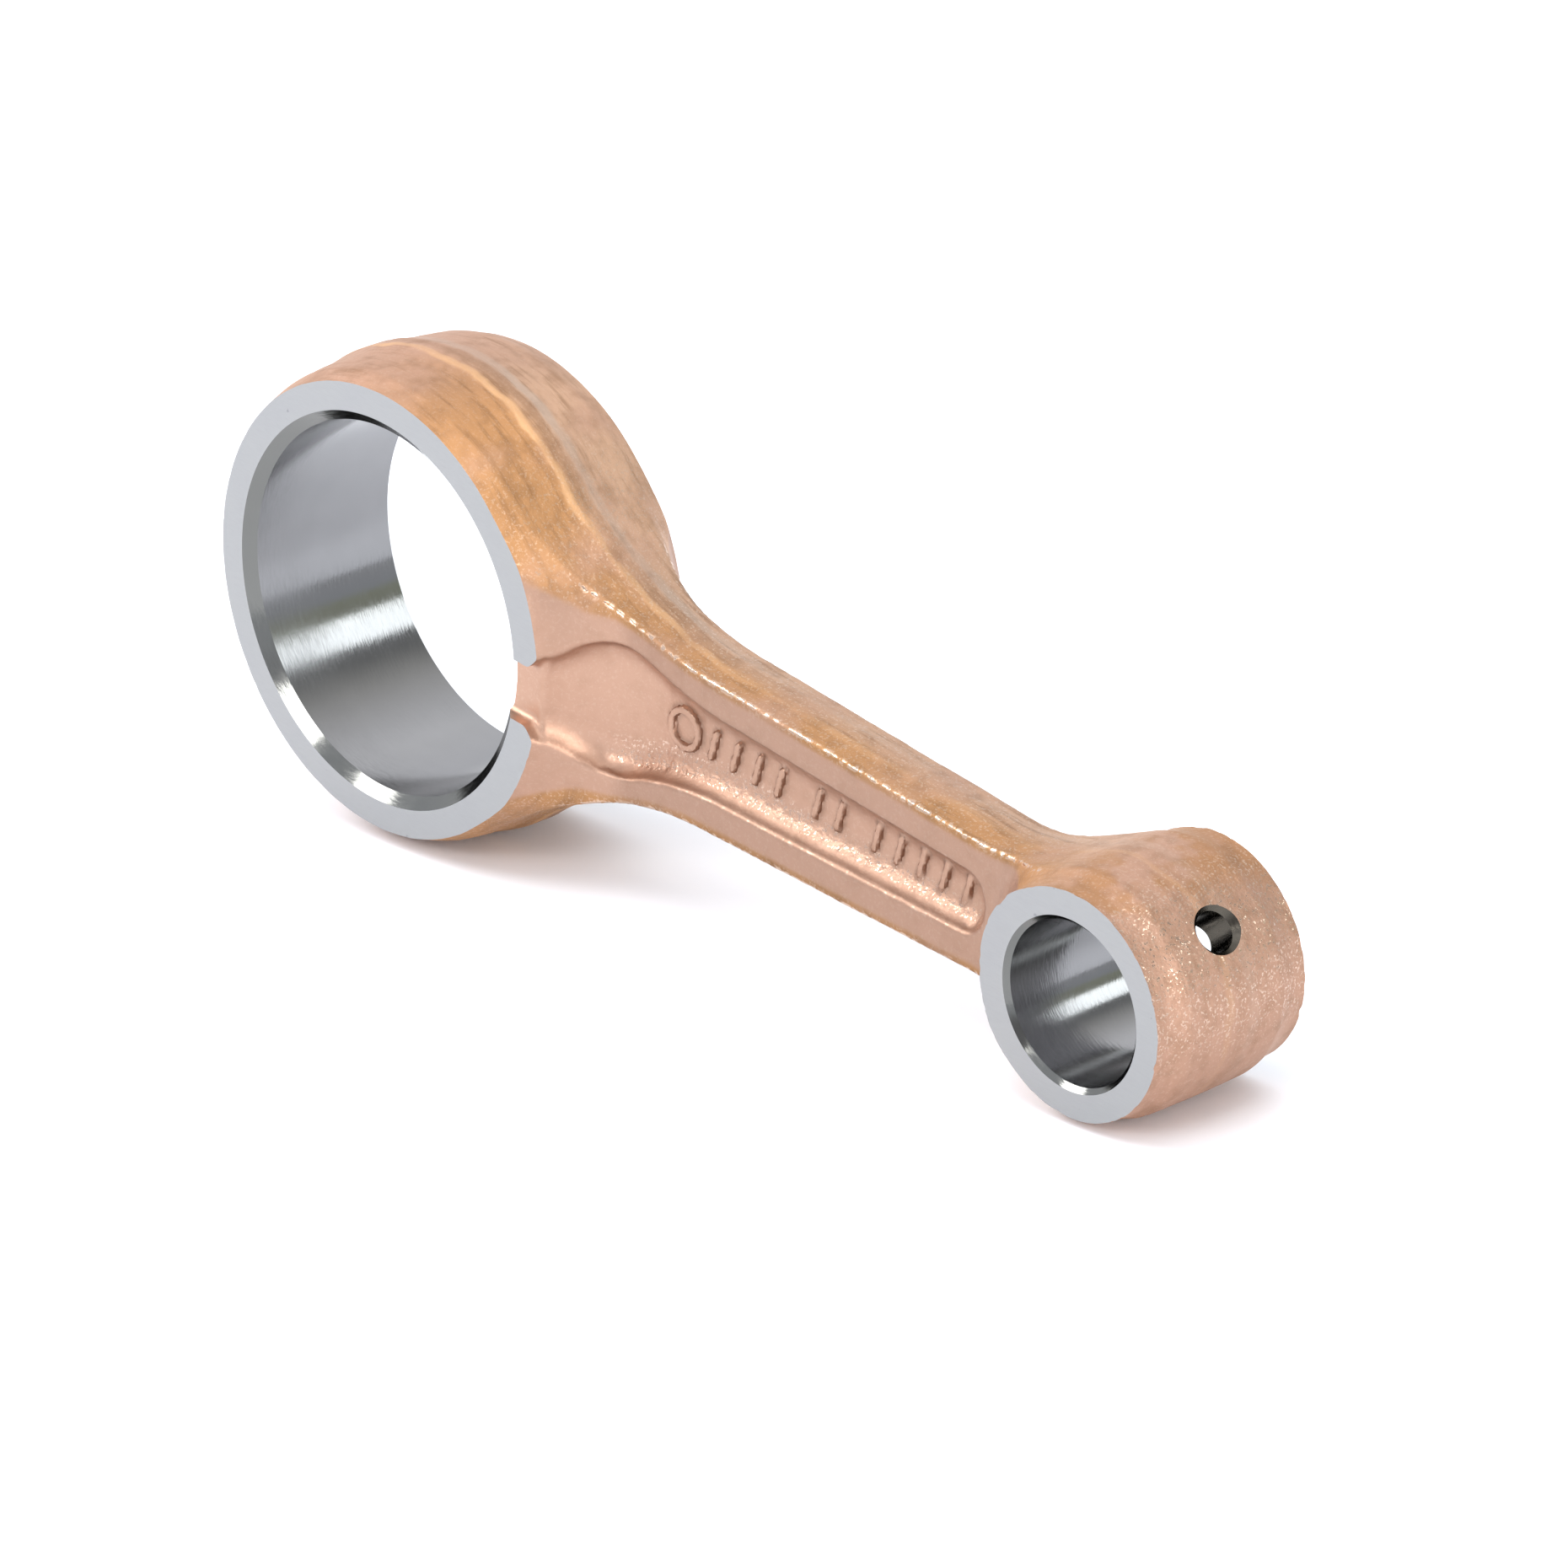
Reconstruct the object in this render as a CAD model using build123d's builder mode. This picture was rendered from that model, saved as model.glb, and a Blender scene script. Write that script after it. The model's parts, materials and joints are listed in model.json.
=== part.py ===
from build123d import *
import os

# Connecting rod of a small single-cylinder engine: one steel forging.
# Origin: centre of the big-end bore. +X runs along the rod to the small end, Y is the
# direction of both bores, +Z is up. The forging dies part on the plane y = 0.

# Driving dimensions, in millimetres
CENTRES = 95.5             # between the two bore axes
BIG_BORE_R = 19.0          # 38 mm crankpin bearing bore
BIG_FACE_R = 23.42         # outside of the machined big-end face
BIG_PARTING_R = 24.45      # outside of the big end where the dies part
BIG_WIDTH = 18.9
SMALL_BORE_R = 8.0         # 16 mm piston pin bore
SMALL_FACE_R = 11.42
SMALL_PARTING_R = 11.97
SMALL_WIDTH = 19.0
SHANK_WIDTH = 7.5          # over the two flanges of the I-section
WEB_THICKNESS = 2.7        # between the two pockets

# Big-end details
BIG_CHAMFER_DEPTH = 1.0
BIG_CHAMFER_RADIAL = 1.15
CORNER_DROP = 0.9          # height of the rounded corner beside each machined face
BIG_CORNER_R = 23.74       # radius at the foot of that corner
FLASH_HALF_WIDTH = 1.1     # band left where the forging flash was trimmed
FLASH_PROUD = 0.21
SKIRT_END_R = 34.3         # where the big end has run out into the flat flange

# Small-end details
SMALL_CHAMFER = 0.5
SMALL_CORNER_DROP = 0.6
SMALL_CORNER_R = 11.72
SMALL_SKIRT_END_R = 16.8
OIL_HOLE_R = 2.0
OIL_MOUTH_R = 2.62
OIL_MOUTH_DEPTH = 0.65
OIL_HOLE_ANGLE = 45        # above +X, seen along the bore

# Shank outline on the parting plane
SHANK_HALF_AT_BIG = 9.9    # half height, carried on to the big-end centre
SHANK_HALF_AT_SMALL = 6.55
BIG_FLARE_R = 38.0         # where the shank runs into the big end
SMALL_FLARE_R = 25.0
SHANK_DRAFT = 6.5          # degrees
CORE_INSET = 0.25          # how far the shank blank stays inside each end's skin

# Pockets, measured on their floors
POCKET_BULB_X = 29.2
POCKET_BULB_R = 6.25
POCKET_HALF_AT_BULB = 4.15
POCKET_HALF_AT_END = 2.25
POCKET_END_X = 84.0
POCKET_END_R = 17.65       # end wall, about the small-end centre
POCKET_END_CORNER_R = 2.2
POCKET_NECK_R = 40.0
POCKET_DRAFT = 16
POCKET_FLOOR_FILLET = 2.1
POCKET_RISE_R = 34.0       # where the floor starts to climb to the oil slot
POCKET_TOP_R = 22.7        # and where it gets there

# Oil slots across the big-end faces, on the shank side
SLOT_HALF = 3.0
SLOT_DEPTH = 1.45
SLOT_FLARE_HALF = 4.8
SLOT_CORNER_R = 1.5

# Plain raised marks on the floor of the front pocket
MARK_HEIGHT = 0.5
MARK_HALF = 1.7
MARK_STROKE = 0.8
MARK_LEAN = 12             # degrees
MARK_RING_X = 35.8
MARK_RING_R = 1.9          # to the middle of its stroke
MARK_PITCH = 3.05
MARK_ROWS = ((39.9, 4), (54.2, 2), (62.3, 5))   # x of the first bar, number of bars

BIG_HALF = BIG_WIDTH / 2
SMALL_HALF = SMALL_WIDTH / 2
SHANK_HALF_WIDTH = SHANK_WIDTH / 2
FLOOR_Y = WEB_THICKNESS / 2
SLOT_FLOOR_Y = BIG_HALF - SLOT_DEPTH
SMALL_AXIS = Axis((CENTRES, 0, 0), (0, 1, 0))


def half_profile(points):
    """Close a list of (radius, height) points down to the parting plane and back to the axis."""
    axis_x = points[0][0]
    Polyline(*points, (points[-1][0], 0), (axis_x, 0), close=True)


# The big end as a full disc: machined faces, drafted side, trimmed flash band
with BuildPart() as big_end:
    with BuildSketch(Plane.XY):
        with BuildLine():
            half_profile((
                (0, BIG_HALF),
                (BIG_FACE_R, BIG_HALF),
                (BIG_CORNER_R, BIG_HALF - CORNER_DROP),
                (BIG_PARTING_R, 2 * FLASH_HALF_WIDTH),
                (BIG_PARTING_R + FLASH_PROUD, FLASH_HALF_WIDTH),
            ))
        make_face()
        mirror(about=Plane.XZ)
    revolve(axis=Axis.Y)

# The small end as a full disc, only slightly crowned
with BuildPart() as small_end:
    with BuildSketch(Plane.XY):
        with BuildLine():
            half_profile((
                (CENTRES, SMALL_HALF),
                (CENTRES + SMALL_FACE_R, SMALL_HALF),
                (CENTRES + SMALL_CORNER_R, SMALL_HALF - SMALL_CORNER_DROP),
                (CENTRES + SMALL_PARTING_R, FLASH_HALF_WIDTH),
            ))
        make_face()
        mirror(about=Plane.XZ)
    revolve(axis=SMALL_AXIS)

# How thick the shank blank may be: the flanges, and a hollow sweep up to each end
with BuildPart() as thickness:
    with Locations((CENTRES / 2, 0, 0)):
        Box(CENTRES, SHANK_WIDTH, 3 * BIG_FACE_R)
    with BuildSketch(Plane.XY):
        with BuildLine():
            TangentArc(
                (SKIRT_END_R, SHANK_HALF_WIDTH), (BIG_FACE_R, BIG_HALF), tangent=(-1, 0)
            )
            Polyline(
                (BIG_FACE_R, BIG_HALF), (0, BIG_HALF), (0, 0), (SKIRT_END_R, 0),
                (SKIRT_END_R, SHANK_HALF_WIDTH),
            )
        make_face()
        mirror(about=Plane.XZ)
    revolve(axis=Axis.Y)
    with BuildSketch(Plane.XY):
        with BuildLine():
            TangentArc(
                (CENTRES + SMALL_SKIRT_END_R, SHANK_HALF_WIDTH),
                (CENTRES + SMALL_FACE_R, SMALL_HALF),
                tangent=(-1, 0),
            )
            Polyline(
                (CENTRES + SMALL_FACE_R, SMALL_HALF), (CENTRES, SMALL_HALF), (CENTRES, 0),
                (CENTRES + SMALL_SKIRT_END_R, 0), (CENTRES + SMALL_SKIRT_END_R, SHANK_HALF_WIDTH),
            )
        make_face()
        mirror(about=Plane.XZ)
    revolve(axis=SMALL_AXIS)

# Everything above the pocket floor: level along the shank, climbing to the oil slot
with BuildPart() as above_floor:
    with BuildSketch(Plane.XY):
        with BuildLine():
            TangentArc((POCKET_RISE_R, FLOOR_Y), (POCKET_TOP_R, SLOT_FLOOR_Y), tangent=(-1, 0))
            Polyline(
                (POCKET_TOP_R, SLOT_FLOOR_Y), (POCKET_TOP_R, 2 * BIG_HALF), (CENTRES, 2 * BIG_HALF),
                (CENTRES, FLOOR_Y), (POCKET_RISE_R, FLOOR_Y),
            )
        make_face()
        mirror(about=Plane.XZ)
    revolve(axis=Axis.Y)

# One pocket of the I-section, as the solid that cuts it
with BuildPart() as pocket:
    with BuildSketch(Plane.XZ.offset(FLOOR_Y)):
        with Locations((POCKET_BULB_X, 0)):
            Circle(POCKET_BULB_R)
        Polygon(
            (POCKET_BULB_X, POCKET_HALF_AT_BULB), (POCKET_END_X, POCKET_HALF_AT_END),
            (POCKET_END_X, -POCKET_HALF_AT_END), (POCKET_BULB_X, -POCKET_HALF_AT_BULB),
            align=None,
        )
        with Locations((CENTRES, 0)):
            Circle(POCKET_END_R, mode=Mode.SUBTRACT)
        neck = vertices().filter_by_position(
            Axis.X, POCKET_BULB_X + 1, POCKET_BULB_X + POCKET_BULB_R
        )
        fillet(neck, radius=POCKET_NECK_R)
        end_corners = vertices().sort_by(Axis.X)[-2:]
        fillet(end_corners, radius=POCKET_END_CORNER_R)
    extrude(amount=BIG_HALF, taper=-POCKET_DRAFT)
    floor_edges = faces().sort_by(Axis.Y)[-1].edges()
    fillet(floor_edges, radius=POCKET_FLOOR_FILLET)
    add(above_floor.part, mode=Mode.INTERSECT)

# The shank blank: the side outline, drafted both ways from the parting plane
with BuildPart() as shank:
    with BuildSketch(Plane.XZ) as outline:
        Circle(BIG_PARTING_R - CORE_INSET)
        with Locations((CENTRES, 0)):
            Circle(SMALL_PARTING_R - CORE_INSET)
        Polygon(
            (0, SHANK_HALF_AT_BIG), (CENTRES, SHANK_HALF_AT_SMALL),
            (CENTRES, -SHANK_HALF_AT_SMALL), (0, -SHANK_HALF_AT_BIG),
            align=None,
        )
        big_corners = vertices().filter_by_position(Axis.X, BIG_BORE_R, CENTRES / 2)
        fillet(big_corners, radius=BIG_FLARE_R)
        small_corners = vertices().filter_by_position(Axis.X, CENTRES - SMALL_FACE_R, CENTRES - SMALL_BORE_R)
        fillet(small_corners, radius=SMALL_FLARE_R)
    extrude(amount=BIG_HALF, taper=SHANK_DRAFT)
    mirror(about=Plane.XZ)
    add(thickness.part, mode=Mode.INTERSECT)
    add(pocket.part, mode=Mode.SUBTRACT)
    add(pocket.part.mirror(Plane.XZ), mode=Mode.SUBTRACT)

# One oil slot, as the solid that cuts it: level floor, mouth flared toward the pocket
with BuildPart() as slot:
    with BuildSketch(Plane.XZ.offset(SLOT_FLOOR_Y)):
        inner_x = BIG_BORE_R - SLOT_DEPTH
        mouth_x = BIG_FACE_R - SLOT_DEPTH
        outer_x = mouth_x + 2 * (SLOT_FLARE_HALF - SLOT_HALF)
        Polygon(
            (inner_x, SLOT_HALF), (mouth_x, SLOT_HALF), (outer_x, SLOT_FLARE_HALF),
            (outer_x, -SLOT_FLARE_HALF), (mouth_x, -SLOT_HALF), (inner_x, -SLOT_HALF),
            align=None,
        )
        fillet(vertices().filter_by_position(Axis.X, mouth_x, mouth_x), radius=SLOT_CORNER_R)
    extrude(amount=2 * SLOT_DEPTH)

# The raised marks: a ring, then leaning bars in three rows, standing on the pocket floor
with BuildPart() as marks:
    with BuildSketch(Plane.XZ.offset(FLOOR_Y)):
        with Locations((MARK_RING_X, 0)):
            Circle(MARK_RING_R + MARK_STROKE / 2)
            Circle(MARK_RING_R - MARK_STROKE / 2, mode=Mode.SUBTRACT)
        for first_x, count in MARK_ROWS:
            bar_places = [(first_x + i * MARK_PITCH, 0) for i in range(count)]
            with Locations(*bar_places):
                SlotOverall(2 * MARK_HALF, MARK_STROKE, rotation=90 - MARK_LEAN)
    extrude(amount=MARK_HEIGHT)

# Everything joined, then the bores, chamfers, slots and oil hole cut
with BuildPart() as connecting_rod:
    add(shank.part)
    add(big_end.part)
    add(small_end.part)
    add(marks.part)
    with Locations(Plane.XZ):
        Hole(BIG_BORE_R)
        with Locations((CENTRES, 0)):
            Hole(SMALL_BORE_R)

    chamfers = (
        (0, BIG_BORE_R, BIG_HALF, BIG_CHAMFER_RADIAL, BIG_CHAMFER_DEPTH),
        (CENTRES, SMALL_BORE_R, SMALL_HALF, SMALL_CHAMFER, SMALL_CHAMFER),
    )
    for centre_x, bore_r, half_width, radial, depth in chamfers:
        for side in (Plane.XZ, Plane.ZX):
            plane = Plane(origin=(centre_x, 0, 0), z_dir=side.z_dir).offset(half_width - depth)
            with Locations(plane):
                Cone(bore_r, bore_r + radial, depth, align=(Align.CENTER, Align.CENTER, Align.MIN),
                     mode=Mode.SUBTRACT)

    add(slot.part, mode=Mode.SUBTRACT)
    add(slot.part.mirror(Plane.XZ), mode=Mode.SUBTRACT)

    oil_plane = Plane(
        origin=(CENTRES, 0, 0), x_dir=(0, 1, 0), z_dir=Vector(1, 0, 0).rotate(Axis.Y, -OIL_HOLE_ANGLE)
    )
    with Locations(oil_plane):
        Cylinder(OIL_HOLE_R, 2 * SMALL_FACE_R, align=(Align.CENTER, Align.CENTER, Align.MIN),
                 mode=Mode.SUBTRACT)
    with Locations(oil_plane.offset(SMALL_PARTING_R - OIL_MOUTH_DEPTH)):
        Cone(OIL_HOLE_R, OIL_MOUTH_R, OIL_MOUTH_DEPTH,
             align=(Align.CENTER, Align.CENTER, Align.MIN), mode=Mode.SUBTRACT)

connecting_rod.part.label = "connecting_rod"
os.makedirs("parts", exist_ok=True)
export_step(connecting_rod.part, "parts/connecting_rod.step")
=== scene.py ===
import json
from math import cos, pi, radians, sin, sqrt

import bpy
import numpy as np
from mathutils import Matrix, Vector


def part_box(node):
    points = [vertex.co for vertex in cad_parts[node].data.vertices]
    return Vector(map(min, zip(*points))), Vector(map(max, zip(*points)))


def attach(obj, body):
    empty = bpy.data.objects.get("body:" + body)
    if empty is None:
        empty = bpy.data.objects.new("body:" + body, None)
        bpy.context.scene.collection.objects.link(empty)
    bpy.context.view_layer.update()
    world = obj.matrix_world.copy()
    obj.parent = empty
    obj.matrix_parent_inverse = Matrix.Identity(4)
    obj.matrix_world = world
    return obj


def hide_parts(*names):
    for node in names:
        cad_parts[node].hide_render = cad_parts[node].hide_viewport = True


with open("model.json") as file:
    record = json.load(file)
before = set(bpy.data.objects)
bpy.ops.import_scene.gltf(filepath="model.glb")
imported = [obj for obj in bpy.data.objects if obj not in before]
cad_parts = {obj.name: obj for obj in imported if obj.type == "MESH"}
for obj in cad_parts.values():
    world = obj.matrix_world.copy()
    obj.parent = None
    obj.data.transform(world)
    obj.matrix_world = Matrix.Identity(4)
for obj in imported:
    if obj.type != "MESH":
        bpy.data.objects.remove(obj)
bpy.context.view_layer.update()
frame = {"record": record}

# ---------------------------------------------------------------- sizes, in millimetres
# The main ones come from the frame; the rest are details of the forging.
MM = 0.001
mounts = {m["name"]: m for m in frame["record"]["mounts"]}
low, high = (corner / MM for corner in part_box("connecting_rod"))

CENTRES = mounts["small_end_bore"]["pos_m"][0] / MM
BIG_BORE_R = mounts["big_end_bore"]["dims"]["r_mm"]
SMALL_BORE_R = mounts["small_end_bore"]["dims"]["r_mm"]
BIG_HALF = mounts["big_end_thrust_face_back"]["pos_m"][1] / MM
SMALL_HALF = high.y
BIG_CHAMFER_DEPTH = BIG_HALF - mounts["big_end_bore"]["dims"]["length_mm"] / 2
SMALL_CHAMFER_DEPTH = SMALL_HALF - mounts["small_end_bore"]["dims"]["length_mm"] / 2
BIG_R = -low.x
SMALL_R = high.x - CENTRES

BIG_CHAMFER = 1.15
SMALL_CHAMFER = 0.5
MACHINING_ALLOWANCE = 0.85     # skin left beyond each end face before it is ground
FLANGE_HALF = 3.75
FLANGE_EDGE_R = 0.45
BOSS_EDGE_R = 1.6
BOSS_EDGE_FROM = (4.5, 8.5)    # depths over which the edge grows from one radius to the other
BIG_DRAFT = 0.1                # slope of the drafted sides
SMALL_DRAFT = 0.02
DRAFT_FROM = 1.4               # depth where it starts
SMALL_END_FROM = (CENTRES - 17, CENTRES - 7)    # where the sides change from one to the other
FLASH_PROUD = 0.11             # the trimmed parting ridge
FLASH_EDGE = (0.95, 1.7)
RIDGE_PROUD = 0.12             # and the gentler rise towards it
RIDGE_EDGE = (1.2, 3.6)
BIG_SKIRT_R = 34.3             # where the big end has run out into the flange
BIG_FACE_R = 23.55
SMALL_SKIRT_R = 16.8
SMALL_FACE_R = 11.5
SKIRT_TOP_R = 0.8              # rounding over the machining allowance

# centre x, disc radius, half height of the bar there, radius of the arc between them
SHANK = dict(near=(0.0, BIG_R, 9.9, 38.0), far=(CENTRES, SMALL_R, 6.55, 25.0))
POCKET = dict(near=(29.2, 6.25, 4.15, 40.0), far=(84.0, 2.25, 2.25, 0.0))
POCKET_FLOOR = 1.35
POCKET_DRAFT = 0.29
POCKET_FLOOR_R = 2.1           # height of the fillet round its floor
POCKET_FLOOR_SPREAD = 1.25     # which is this much wider than high
POCKET_MOUTH_HALF = 3.25       # of the passage from its bulb to the slot
POCKET_MOUTH_R = 2.0
POCKET_END_R = 17.65           # its end wall, about the small end's centre
POCKET_END_CORNER_R = 2.3
POCKET_RIM_R = 0.5
POCKET_RISE = dict(face_r=22.7, face_half=8.0, end_r=34.0)    # floor climbing to the big end

SLOT_FLOOR = 8.0
SLOT_FLOOR_R = 0.7
SLOT_HALF = 3.0
SLOT_DRAFT = 0.1
SLOT_FLARE = 1.6
SLOT_FLARE_FROM = (21.8, 24.4)    # radii over which it opens
SLOT_RIM_R = 0.35

OIL_ANGLE = radians(45)
OIL_R = 2.0
OIL_MOUTH_R = 2.62
OIL_MOUTH_DEPTH = 0.65

MARK_HEIGHT = 0.5
MARK_HALF = 1.7
MARK_STROKE = 0.4
MARK_LEAN = 0.21
MARK_RING_X = 35.8
MARK_RING_R = 1.9
MARK_PITCH = 3.05
MARK_ROWS = ((39.9, 4), (54.2, 2), (62.3, 5))    # x of the first bar, number of bars
MARK_EDGE_R = 0.15
MARK_FOOT_R = 0.2

OVER = 2.0                     # how far a cut runs past the surface it cuts


# ---------------------------------------------------------------- distance fields
# Each takes arrays of points in millimetres and gives a distance that is negative inside.
def step(value, start, end):
    """0 before start, 1 after end, smooth between."""
    t = np.clip((value - start) / (end - start), 0, 1)
    return t * t * (3 - 2 * t)


def both(a, b, radius):
    """What is inside a and b, with the edge between them rounded."""
    corner = np.hypot(np.maximum(a + radius, 0), np.maximum(b + radius, 0))
    return np.minimum(-radius, np.maximum(a, b)) + corner


def either(a, b, radius):
    """What is inside a or b, with a hollow fillet between them."""
    return -both(-a, -b, radius)


def outline(x, z, near, far):
    """Side view of two discs joined by a tapering bar, with hollow arcs where it meets a wider disc."""
    height = abs(z)
    slope = (far[2] - near[2]) / (far[0] - near[0])
    length = sqrt(1 + slope * slope)
    bar = (height - near[2] - slope * (x - near[0])) / length
    result = np.maximum(bar, np.maximum(near[0] - x, x - far[0]))
    for disc_x, disc_r, _, _ in (near, far):
        result = np.minimum(result, np.hypot(x - disc_x, z) - disc_r)
    for (disc_x, disc_r, half, join), side in ((near, 1), (far, -1)):
        if not join:
            continue
        # centre of the arc, measured from the disc's centre
        reach = half + join * length
        a, b, c = length ** 2, slope * reach, reach ** 2 - (disc_r + join) ** 2
        centre_x = (-b + side * sqrt(b * b - a * c)) / a
        centre_z = reach + slope * centre_x
        u, w = x - disc_x - centre_x, height - centre_z
        past_disc = (-centre_x * w + centre_z * u) * side
        past_bar = (slope * w + u) * side
        arc = join - np.hypot(u, w)
        result = np.where((past_disc > 0) & (past_bar < 0), arc, result)
    return result


def side_drop(x, depth):
    """How far the sides have drawn in at this depth from the parting plane."""
    small = step(x, *SMALL_END_FROM)
    draft = BIG_DRAFT + (SMALL_DRAFT - BIG_DRAFT) * small
    ridge = FLASH_PROUD * step(depth, *FLASH_EDGE) + RIDGE_PROUD * step(depth, *RIDGE_EDGE)
    return ridge * (1 - small) + draft * np.maximum(depth - DRAFT_FROM, 0)


def run_out(radius, depth, base, face_r, face_half, end_r):
    """Under a surface that climbs through a hollow arc from base, at end_r, to face_half, at face_r."""
    run, rise = end_r - face_r, face_half - base
    arc_r = (run * run + rise * rise) / (2 * rise)
    arc = arc_r - np.hypot(radius - end_r, depth - base - arc_r)
    return np.where(radius < end_r, arc, depth - base)


def skirt(radius, depth, face_r, face_half, end_r):
    """A boss whose side runs out into the flange through a hollow arc."""
    side = run_out(radius, depth, FLANGE_HALF, face_r, face_half, end_r)
    return both(side, depth - face_half - MACHINING_ALLOWANCE, SKIRT_TOP_R)


def flange_top(depth, big_radius, small_radius):
    """Under the flange faces and the skirts they climb into at both ends."""
    return np.minimum(
        run_out(big_radius, depth, FLANGE_HALF, BIG_FACE_R, BIG_HALF, BIG_SKIRT_R),
        run_out(small_radius, depth, FLANGE_HALF, SMALL_FACE_R, SMALL_HALF, SMALL_SKIRT_R),
    )


def pocket(x, z, depth, big_radius, small_radius):
    """The hollow between the flanges, with drafted walls and a floor that climbs to the big end."""
    side = both(outline(x, z, **POCKET), POCKET_END_R - small_radius, POCKET_END_CORNER_R)
    mouth = np.maximum(abs(z) - POCKET_MOUTH_HALF, np.maximum(x - POCKET["near"][0], -x))
    side = either(side, mouth, POCKET_MOUTH_R)
    side = side - POCKET_DRAFT * (np.minimum(depth, FLANGE_HALF) - POCKET_FLOOR)
    floor = run_out(big_radius, depth, POCKET_FLOOR, **POCKET_RISE)
    return POCKET_FLOOR_SPREAD * both(side / POCKET_FLOOR_SPREAD, -floor, POCKET_FLOOR_R)


def slot(x, z, depth, big_radius):
    """An oil slot across the big end's face, on the shank's side."""
    half = SLOT_HALF + SLOT_DRAFT * (depth - SLOT_FLOOR) + SLOT_FLARE * step(big_radius, *SLOT_FLARE_FROM)
    cut = both(abs(z) - half, SLOT_FLOOR - depth, SLOT_FLOOR_R)
    return np.maximum(cut, np.maximum(-x, big_radius - BIG_R - OVER))


def marks(x, z):
    """Plain raised marks: one ring, then leaning bars in three rows."""
    result = abs(np.hypot(x - MARK_RING_X, z) - MARK_RING_R)
    for first_x, count in MARK_ROWS:
        along = x - first_x - MARK_LEAN * z
        nearest = np.clip(np.round(along / MARK_PITCH), 0, count - 1)
        beyond = np.maximum(abs(z) - MARK_HALF + MARK_STROKE, 0)
        result = np.minimum(result, np.hypot(along - nearest * MARK_PITCH, beyond))
    return result - MARK_STROKE


def forging(x, y, z):
    """The whole forging before machining, with its bores still solid."""
    depth = abs(y)
    big_radius = np.hypot(x, z)
    small_radius = np.hypot(x - CENTRES, z)
    sides = outline(x, z, **SHANK) + side_drop(x, depth)
    top = np.minimum(
        skirt(big_radius, depth, BIG_FACE_R, BIG_HALF, BIG_SKIRT_R),
        skirt(small_radius, depth, SMALL_FACE_R, SMALL_HALF, SMALL_SKIRT_R),
    )
    edge_r = FLANGE_EDGE_R + (BOSS_EDGE_R - FLANGE_EDGE_R) * step(depth, *BOSS_EDGE_FROM)
    body = both(sides, top, edge_r)
    body = both(body, -pocket(x, z, depth, big_radius, small_radius), POCKET_RIM_R)
    body = both(body, -slot(x, z, depth, big_radius), SLOT_RIM_R)
    raised = both(marks(x, z), -y - POCKET_FLOOR - MARK_HEIGHT, MARK_EDGE_R)
    return either(body, np.maximum(raised, y), MARK_FOOT_R)


# ---------------------------------------------------------------- the skin's relief
def lattice_noise(points, size, seed):
    """Smooth noise from -1 to 1 over a seeded lattice with this cell size."""
    count = 32
    table = np.random.default_rng(seed).uniform(-1, 1, (count, count, count))
    scaled = points / size
    cell = np.floor(scaled).astype(int)
    t = scaled - cell
    t = t * t * (3 - 2 * t)
    total = 0
    for corner in np.ndindex(2, 2, 2):
        weight = np.prod(np.where(corner, t, 1 - t), axis=1)
        total = total + weight * table[tuple(((cell + corner) % count).T)]
    return total


def flow(points):
    """Coordinates that follow the drafted sides: distance along them, y, and 1 on them, 0 elsewhere."""
    x, y, z = points.T
    depth = abs(y)
    along_ring = BIG_R * (1 - np.arctan2(abs(z), x)) + 10
    along = along_ring + (x - along_ring) * step(x, 19, 31)
    # the sides' rounded edges are included, and they are widest beside the ring faces
    edge = -0.7 - 1.0 * step(depth, 4.0, 6.0)
    on_side = step(outline(x, z, **SHANK) + side_drop(x, depth), edge - 0.4, edge + 0.2)
    return np.stack((along, y, on_side), axis=1)


def burnish(points):
    """Where the skin is rubbed bright: 1 on the flanges' outer edges, less on the pockets' rims."""
    x, y, z = points.T
    depth = abs(y)
    big_radius = np.hypot(x, z)
    small_radius = np.hypot(x - CENTRES, z)
    sides = outline(x, z, **SHANK) + side_drop(x, depth)
    hollow = -pocket(x, z, depth, big_radius, small_radius)
    top = flange_top(depth, big_radius, small_radius)
    outer = step(np.minimum(top, sides), -0.4, -0.2) * step(depth, 7.5, 5.5)
    rim = step(np.minimum(top, hollow), -0.36, -0.16) * step(x, 26, 40)
    return np.maximum(outer, 0.4 * rim)


def coarseness(points):
    """How coarse the skin is, from 0 to 1: most on the small end, the big end's flanks and along the
    pockets' lower walls, least on pocket floors and flange faces."""
    x, y, z = points.T
    on_side = flow(points)[:, 2]
    from_big = np.degrees(np.arctan2(z, x))
    from_small = np.degrees(np.arctan2(z, x - CENTRES))
    ring = 0.15 + 0.3 * step(abs(from_big), 75, 40)
    small = 0.3 + 0.55 * step(from_small, 85, 60) * step(from_small, -20, 15)
    at_small = step(x, 80, 90)
    side = ring + (0.45 - ring) * step(x, 24, 36)
    side = side + (small - side) * at_small
    from_rim = outline(x, z, **POCKET)
    wall = step(from_rim, -3.2, -2.3) * step(from_rim, 0.2, -0.2) * step(z, -0.5, -2) * step(x, 25, 30)
    wall = wall * (abs(y) < FLANGE_HALF - 0.3)
    return np.maximum(side * on_side, np.maximum(0.75 * wall, 0.2))


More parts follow.
